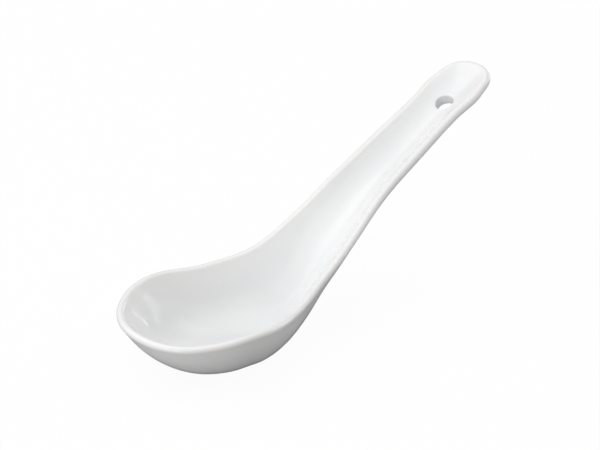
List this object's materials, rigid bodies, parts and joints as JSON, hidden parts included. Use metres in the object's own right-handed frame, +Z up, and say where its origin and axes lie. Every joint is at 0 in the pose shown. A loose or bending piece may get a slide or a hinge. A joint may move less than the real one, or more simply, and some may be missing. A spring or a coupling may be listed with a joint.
{
  "type": "soup spoon",
  "caption": "Glazed porcelain soup spoon with a deep flat-bottomed bowl and a hollow, upswept handle with a hanging hole.",
  "frame": {"origin": "on the table, under the middle of the spoon's length", "axes": "+X along the spoon from the bowl's tip to the handle's end, +Z up from the table, +Y across it"},
  "size_m": [0.1345, 0.0454, 0.0551],
  "materials": {
    "porcelain": "glossy white glaze"
  },
  "bodies": {
    "root": {"spoon": "porcelain"}
  },
  "joints": []
}
